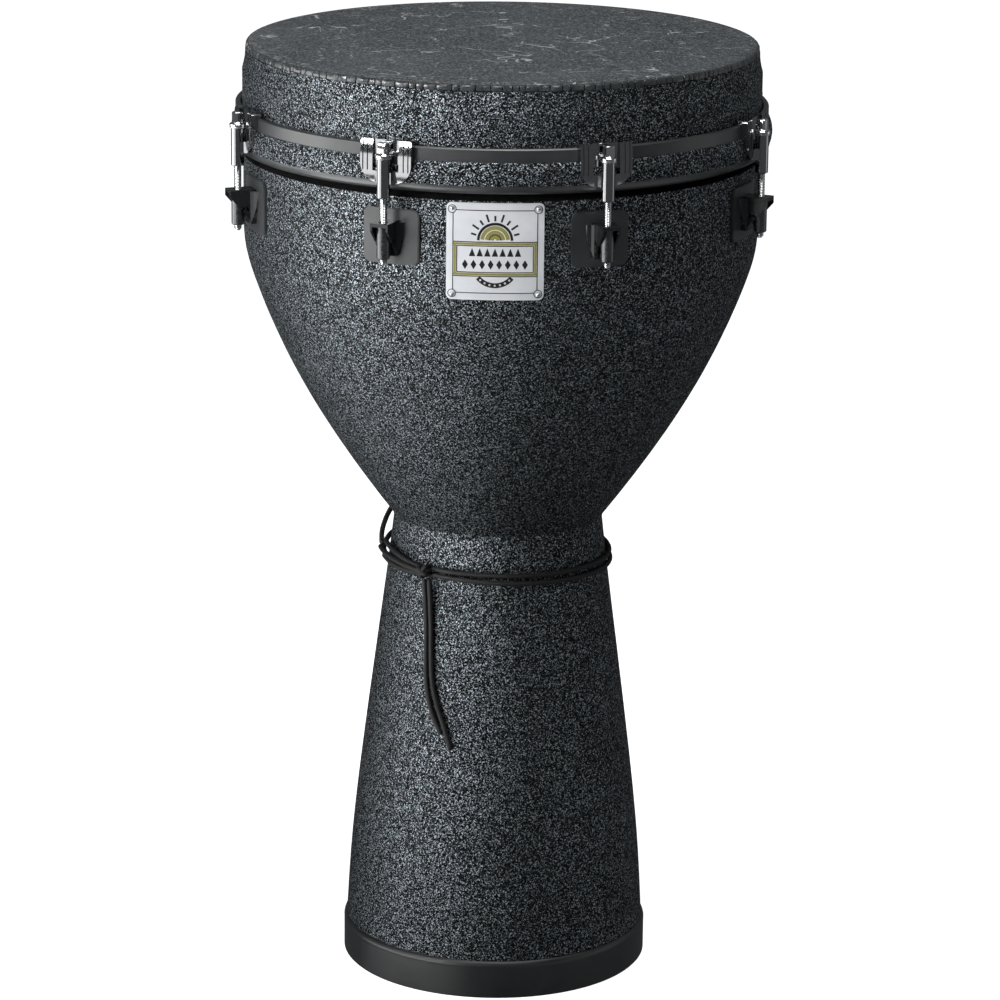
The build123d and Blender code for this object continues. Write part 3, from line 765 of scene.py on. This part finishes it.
def rod_mesh(material):
    """A rod about its own axis: thread, flange, neck and square key head."""
    vertices = []
    step = THREAD_PITCH / THREAD_STEPS
    count = round((THREAD_TOP - ROD_TIP) / step)
    for row in range(count + 1):
        height = ROD_TIP + row * step
        taper = min(1.0, POINT_START + POINT_GROWTH * row / (POINT_TURNS * THREAD_STEPS))
        for corner in range(THREAD_SIDES):
            angle = TURN * (corner + 0.5) / THREAD_SIDES
            phase = (row / THREAD_STEPS - corner / THREAD_SIDES) % 1.0
            ridge = 1 - abs(2 * phase - 1)
            reach = (ROD_RADIUS - THREAD_DEPTH * (1 - ridge)) * taper
            vertices.append((reach * math.cos(angle), reach * math.sin(angle), height))
    # radius in millimetres, height, how square
    lathe = [
        (2.6, THREAD_TOP + 0.4 * MM, 0),
        (2.6, FLANGE_FOOT, 0),
        (5.1, FLANGE_FOOT, 0),
        (5.4, FLANGE_FOOT + 0.35 * MM, 0),
        (5.4, FLANGE_TOP - 0.5 * MM, 0),
        (5.0, FLANGE_TOP, 0),
        (4.4, FLANGE_TOP + 0.1 * MM, 0),
        (3.6, FLANGE_TOP + 0.6 * MM, 0.3),
        (3.15, SQUARE_FOOT - 0.2 * MM, 1),
        (3.17, SQUARE_FOOT + 0.4 * MM, 1),
        (3.17, SQUARE_TOP - 1.2 * MM, 1),
        (2.95, SQUARE_TOP - 0.55 * MM, 1),
        (2.45, SQUARE_TOP - 0.12 * MM, 0.8),
        (1.6, SQUARE_TOP, 0.4),
    ]
    for radius, height, square in lathe:
        vertices += ring_points(radius * MM, height, THREAD_SIDES, square)
    rows = count + 1 + len(lathe)
    faces = rows_to_faces(rows, THREAD_SIDES)
    faces.append(tuple(reversed(range(THREAD_SIDES))))
    faces.append(tuple((rows - 1) * THREAD_SIDES + corner for corner in range(THREAD_SIDES)))
    return mesh_object("rod_pattern", vertices, faces, material, 38.0)


def lug_place(index):
    """Where lug number index + 1 stands: X outwards, Y round the drum, Z up."""
    azimuth = FIRST_LUG_AZIMUTH + index * 360 / LUG_COUNT
    turn = Matrix.Rotation(math.radians(azimuth - 90), 4, "Z")
    return turn @ Matrix.Translation((ROD_CIRCLE, 0, 0))


def make_rods(material):
    pattern = rod_mesh(material)
    for index in range(LUG_COUNT):
        rod = pattern.copy()
        rod.data = pattern.data.copy()
        rod.name = f"key_rod_{index + 1}"
        rod.data.name = rod.name
        rod.data.transform(lug_place(index))
        SCENE.collection.objects.link(rod)
        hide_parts(f"tension_rod_{index + 1}")
        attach(rod, f"rod_body_{index + 1}")
    bpy.data.objects.remove(pattern)


# The nameplate's art, in millimetres from its middle: a border, a panel of triangles and
# diamonds, a half disc with rays and a crescent with dots

PLATE_CENTRE = 550.0 * MM
INLAY_STAND = 0.1 * MM
STUD_STAND = 0.06 * MM
RAY_START = -0.3
WEDGE_STEPS = 4
WEDGE_TIP = 0.02
WEDGE_RUN = 0.98


class PlateFace:
    """The nameplate's curved front, to lay flat shapes on."""

    def __init__(self):
        self.tree = BVHTree.FromObject(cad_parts["nameplate"], bpy.context.evaluated_depsgraph_get())

    def point(self, across, height, stand):
        start = Vector((across, RAY_START, PLATE_CENTRE + height))
        hit = self.tree.ray_cast(start, Vector((0, 1, 0)))[0]
        away = Vector((hit.x, hit.y, 0)).normalized()
        return hit + away * stand


class Inlay:
    """Flat shapes of one enamel colour, gathered into one mesh."""

    def __init__(self, face):
        self.face = face
        self.vertices = []
        self.faces = []

    def strip(self, left, right):
        """A raised band between two lines of the same number of points."""
        start = len(self.vertices)
        count = len(left)
        for line, stand in ((left, 0.0), (left, INLAY_STAND), (right, INLAY_STAND), (right, 0.0)):
            for across, height in line:
                self.vertices.append(self.face.point(across * MM, height * MM, stand))
        for row in range(3):
            for column in range(count - 1):
                a = start + row * count + column
                self.faces.append((a, a + 1, a + count + 1, a + count))
        for column in (0, count - 1):
            self.faces.append(tuple(start + row * count + column for row in range(4)))

    def line(self, points, width):
        """A band of one width along a bent line."""
        left, right = [], []
        for number, point in enumerate(points):
            before = Vector(points[max(number - 1, 0)])
            after = Vector(points[min(number + 1, len(points) - 1)])
            ahead = (after - before).normalized()
            away = Vector((-ahead.y, ahead.x)) * width / 2
            left.append(tuple(Vector(point) + away))
            right.append(tuple(Vector(point) - away))
        self.strip(left, right)

    def straight(self, start, end, width):
        count = max(2, int((Vector(end) - Vector(start)).length / 2) + 1)
        points = [tuple(Vector(start).lerp(Vector(end), step / (count - 1))) for step in range(count)]
        self.line(points, width)

    def arc(self, centre, radius, first, last, width, steps):
        points = []
        for step in range(steps + 1):
            angle = math.radians(first + (last - first) * step / steps)
            points.append((centre[0] + radius * math.cos(angle), centre[1] + radius * math.sin(angle)))
        self.line(points, width)

    def wedge(self, tip, left, right):
        """A filled triangle with its tip given first."""
        shares = [WEDGE_TIP + WEDGE_RUN * step / WEDGE_STEPS for step in range(WEDGE_STEPS + 1)]
        left_side = [tuple(Vector(tip).lerp(Vector(left), share)) for share in shares]
        right_side = [tuple(Vector(tip).lerp(Vector(right), share)) for share in shares]
        self.strip(left_side, right_side)

    def object(self, name, material):
        piece = mesh_object(name, self.vertices, self.faces, material, 30.0)
        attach(piece, "drum_body")
        return piece


BORDER = 27.6
CORNER_RING = 2.6
PIN_PLACE = 28.2
BORDER_WIDTH = 0.55
RING_WIDTH = 0.5
PANEL_TOP = 6.6
PANEL_FOOT = -16.2
GOLD_INSET = 1.3
GOLD_END = 2
GOLD_WIDTH = 1.5
INK_INSET = 2.6
INK_WIDTH = 0.6
TRIANGLES = 7
TRIANGLE_PITCH = 5.0
DIAMONDS = 8
DIAMOND_PITCH = 5.6
RAYS = 9
DOTS = 7


def border_lines(ink):
    inner = PIN_PLACE - CORNER_RING
    for sign in (-1, 1):
        ink.straight((-inner, sign * BORDER), (inner, sign * BORDER), BORDER_WIDTH)
        ink.straight((sign * BORDER, PANEL_TOP), (sign * BORDER, inner), BORDER_WIDTH)
        ink.straight((sign * BORDER, -inner), (sign * BORDER, PANEL_FOOT), BORDER_WIDTH)
        for other in (-1, 1):
            ink.arc((sign * PIN_PLACE, other * PIN_PLACE), CORNER_RING, 0, 360, RING_WIDTH, 24)


def panel(gold, ink):
    """A framed band with a row of triangles above a row of diamonds."""
    middle = (PANEL_TOP + PANEL_FOOT) / 2
    half = (PANEL_TOP - PANEL_FOOT) / 2
    side = BORDER - GOLD_INSET
    inner = BORDER - INK_INSET
    inner_foot = PANEL_FOOT + INK_INSET
    inner_top = PANEL_TOP - INK_INSET
    for sign in (-1, 1):
        level = middle + sign * (half - GOLD_INSET)
        gold.straight((-BORDER, level), (BORDER, level), GOLD_WIDTH)
        gold.straight((sign * side, PANEL_FOOT + GOLD_END), (sign * side, PANEL_TOP - GOLD_END), GOLD_WIDTH)
        level = middle + sign * half
        ink.straight((-BORDER, level), (BORDER, level), INK_WIDTH)
        level = middle + sign * (half - INK_INSET)
        ink.straight((-inner, level), (inner, level), INK_WIDTH)
        ink.straight((sign * inner, inner_foot), (sign * inner, inner_top), INK_WIDTH)
        ink.straight((sign * BORDER, PANEL_FOOT), (sign * BORDER, PANEL_TOP), INK_WIDTH)
    for number in range(TRIANGLES):
        centre = (number - (TRIANGLES - 1) / 2) * TRIANGLE_PITCH
        ink.wedge((centre, 2.6), (centre - 2.1, -2.9), (centre + 2.1, -2.9))
    for number in range(DIAMONDS):
        centre = (number - (DIAMONDS - 1) / 2) * DIAMOND_PITCH
        ink.wedge((centre, -5.2), (centre - 1.9, -8.4), (centre + 1.9, -8.4))
        ink.wedge((centre, -11.6), (centre + 1.9, -8.4), (centre - 1.9, -8.4))


def half_disc(gold, ink):
    """Above the panel: a thick-edged half disc with short rays."""
    base = (0.0, PANEL_TOP + 1.2)
    for radius in (2.2, 5.4, 8.4):
        gold.arc(base, radius, 4, 176, 2.5, 18)
    ink.arc(base, 3.8, 2, 178, 0.7, 20)
    ink.arc(base, 11.0, 0, 180, 1.7, 28)
    for number in range(RAYS):
        angle = math.radians(16 + 148 * number / (RAYS - 1))
        ray = Vector((math.cos(angle), math.sin(angle)))
        start = Vector(base) + ray * 12.8
        ink.straight(tuple(start), tuple(Vector(base) + ray * (16.4 + 1.6 * (number % 2))), 1.3)


def crescent(ink, studs):
    """Below the panel: a dark crescent with a row of pale dots."""
    centre = (0.0, PANEL_FOOT + 8.0)
    for radius in (13.4, 15.0):
        ink.arc(centre, radius, -141, -39, 1.7, 24)
    for number in range(DOTS):
        angle = math.radians(-132 + 84 * number / (DOTS - 1))
        spot = (centre[0] + 14.2 * math.cos(angle), centre[1] + 14.2 * math.sin(angle))
        studs.arc(spot, 0.45, 0, 360, 0.5, 10)


def make_nameplate_art(ink_material, gold_material, plate_material):
    face = PlateFace()
    ink = Inlay(face)
    gold = Inlay(face)
    studs = Inlay(face)
    border_lines(ink)
    panel(gold, ink)
    half_disc(gold, ink)
    crescent(ink, studs)
    ink.object("nameplate_enamel_black", ink_material)
    gold.object("nameplate_enamel_gold", gold_material)
    dots = studs.object("nameplate_arc_studs", plate_material)
    dots.location.y = -STUD_STAND


# Finishes for the CAD pieces that stay


def paint(node, material):
    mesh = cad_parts[node].data
    mesh.materials.clear()
    mesh.materials.append(material)


def split_paint(node, finishes, which):
    """Several finishes on one piece: which tells a face's finish from its centre and normal."""
    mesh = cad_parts[node].data
    mesh.materials.clear()
    for finish in finishes:
        mesh.materials.append(finish)
    for face in mesh.polygons:
        face.material_index = which(face.center, face.normal)


SHOULDER = 583.6 * MM
PLATE_REACH = 181.0 * MM
FACES_INWARD = -0.02


def shell_finish(centre, normal):
    """0 outside, 1 inside, 2 on the bare edge above the shoulder, which carries painted shade of the gap
    under the hoop.
    """
    if centre.x * normal.x + centre.y * normal.y < FACES_INWARD:
        return 1
    return 2 if centre.z > SHOULDER else 0


def lug_finish(centre, normal):
    """0 on the receiver, 1 on its mounting plate."""
    return 1 if math.hypot(centre.x, centre.y) < PLATE_REACH else 0


def finish_cad_pieces(materials):
    shell = [materials[name] for name in ("coating", "inner", "shaded_rim")]
    for node in ("bowl_shell", "stem_shell"):
        split_paint(node, shell, shell_finish)
    plain = {
        "neck_sleeve": "inner",
        "foot_bumper": "rubber",
        "nameplate": "plate",
        "nameplate_pins": "pin",
        "lug_screws": "zinc",
        "lug_washers": "zinc",
        "rod_washers": "zinc",
        "head_collar": "coating",
        "flesh_hoop": "zinc",
        "counter_hoop": "strap",
        "hoop_rim": "coating",
        "rim_lip": "strap",
    }
    for node, finish in plain.items():
        paint(node, materials[finish])
    for number in range(1, LUG_COUNT + 1):
        split_paint(f"lug_{number}", [materials["hardware"], materials["strap"]], lug_finish)
        paint(f"bracket_{number}", materials["black_nickel"])
        paint(f"lug_nut_{number}", materials["nut"])
        paint(f"guide_tube_{number}", materials["black_nickel"])


# Studio

FLOOR_REACH = 14.0
AMBIENT = (0.092, 0.097, 0.101, 1)


def soft_light(name, azimuth, distance, height, size, power, aim_height=0.45, spread=180):
    """A soft panel of (width, tallness) that faces the drum's axis at a height."""
    data = bpy.data.lights.new(name, "AREA")
    data.shape = "RECTANGLE"
    data.size, data.size_y = size
    data.energy = power
    data.spread = math.radians(spread)
    light = bpy.data.objects.new(name, data)
    light.visible_camera = False
    SCENE.collection.objects.link(light)
    place = round_the_drum(azimuth, distance, height)
    aim = Vector((0, 0, aim_height)) - place
    light.matrix_world = Matrix.Translation(place) @ aim.to_track_quat("-Z", "Y").to_matrix().to_4x4()


def make_floor():
    corners = [(x * FLOOR_REACH, y * FLOOR_REACH, 0) for x, y in ((-1, -1), (1, -1), (1, 1), (-1, 1))]
    mesh = bpy.data.meshes.new("floor")
    mesh.from_pydata(corners, [], [(0, 1, 2, 3)])
    floor = bpy.data.objects.new("floor", mesh)
    SCENE.collection.objects.link(floor)
    shader = Shader("floor", (0.9, 0.9, 0.9), 0.9)
    shader.bsdf.inputs["Emission Color"].default_value = (1, 1, 1, 1)
    shader.bsdf.inputs["Emission Strength"].default_value = 0.95
    mesh.materials.append(shader.material)
    floor.visible_diffuse = False
    floor.visible_glossy = False


def make_world():
    world = bpy.data.worlds.new("studio")
    world.use_nodes = True
    nodes = world.node_tree.nodes
    links = world.node_tree.links
    background = nodes["Background"]
    rays = nodes.new("ShaderNodeLightPath")
    mix = nodes.new("ShaderNodeMix")
    mix.data_type = "RGBA"
    mix.inputs[MIX_FIRST].default_value = AMBIENT
    mix.inputs[MIX_SECOND].default_value = (1, 1, 1, 1)
    links.new(rays.outputs["Is Camera Ray"], mix.inputs[MIX_FACTOR])
    links.new(mix.outputs[MIX_RESULT], background.inputs["Color"])
    SCENE.world = world


def make_studio():
    make_floor()
    make_world()
    # azimuth, distance, height, size, power, height it faces, spread
    soft_light("key", -50, 1.2, 0.95, (0.9, 0.5), 2.5, 0.62, 60)
    soft_light("side_key", -88, 1.2, 0.42, (0.7, 0.5), 0.5, 0.6, 60)
    soft_light("overhead", 10, 0.6, 2.6, (1.6, 1.2), 28, 0.6)
    soft_light("bounce", -60, 0.8, 0.02, (0.9, 0.7), 7.8, 3.0)
    soft_light("right_bounce", 60, 0.8, 0.02, (0.9, 0.7), 0.65, 3.0)
    soft_light("right_fill", 100, 1.9, 0.9, (2.0, 1.4), 1.3)
    soft_light("left_panel", -55, 1.6, 0.27, (1.05, 0.5), 2.8, 0.27)
    soft_light("right_panel", 90, 1.6, 0.27, (0.5, 0.5), 0.4, 0.27)
    SCENE.view_settings.view_transform = "Standard"


def build():
    make_camera()
    make_cords(braid())
    make_film(film(), film_lip())
    make_rods(bright_metal("bright_chrome", (0.86, 0.87, 0.88), 0.08))
    plate = brushed_plate()
    make_nameplate_art(
        printed("enamel_black", (0.012, 0.012, 0.014), 0.35),
        printed("enamel_gold", (0.3, 0.28, 0.09), 0.35),
        plate,
    )
    finish_cad_pieces(
        {
            "coating": coating(),
            "inner": inner_plastic(),
            "rubber": foot_rubber(),
            "plate": plate,
            "pin": bright_metal("pin_metal", (0.7, 0.71, 0.73), 0.22, 900),
            "zinc": bright_metal("zinc_steel", (0.62, 0.64, 0.66), 0.3, 700),
            "strap": strap_black(),
            "shaded_rim": shaded_bare_rim(),
            "hardware": hardware_black(),
            "nut": bright_metal("nut_black", (0.16, 0.165, 0.17), 0.3, 800),
            "black_nickel": bright_metal("black_chrome", (0.4, 0.405, 0.415), 0.08, 400),
        }
    )
    make_studio()


build()
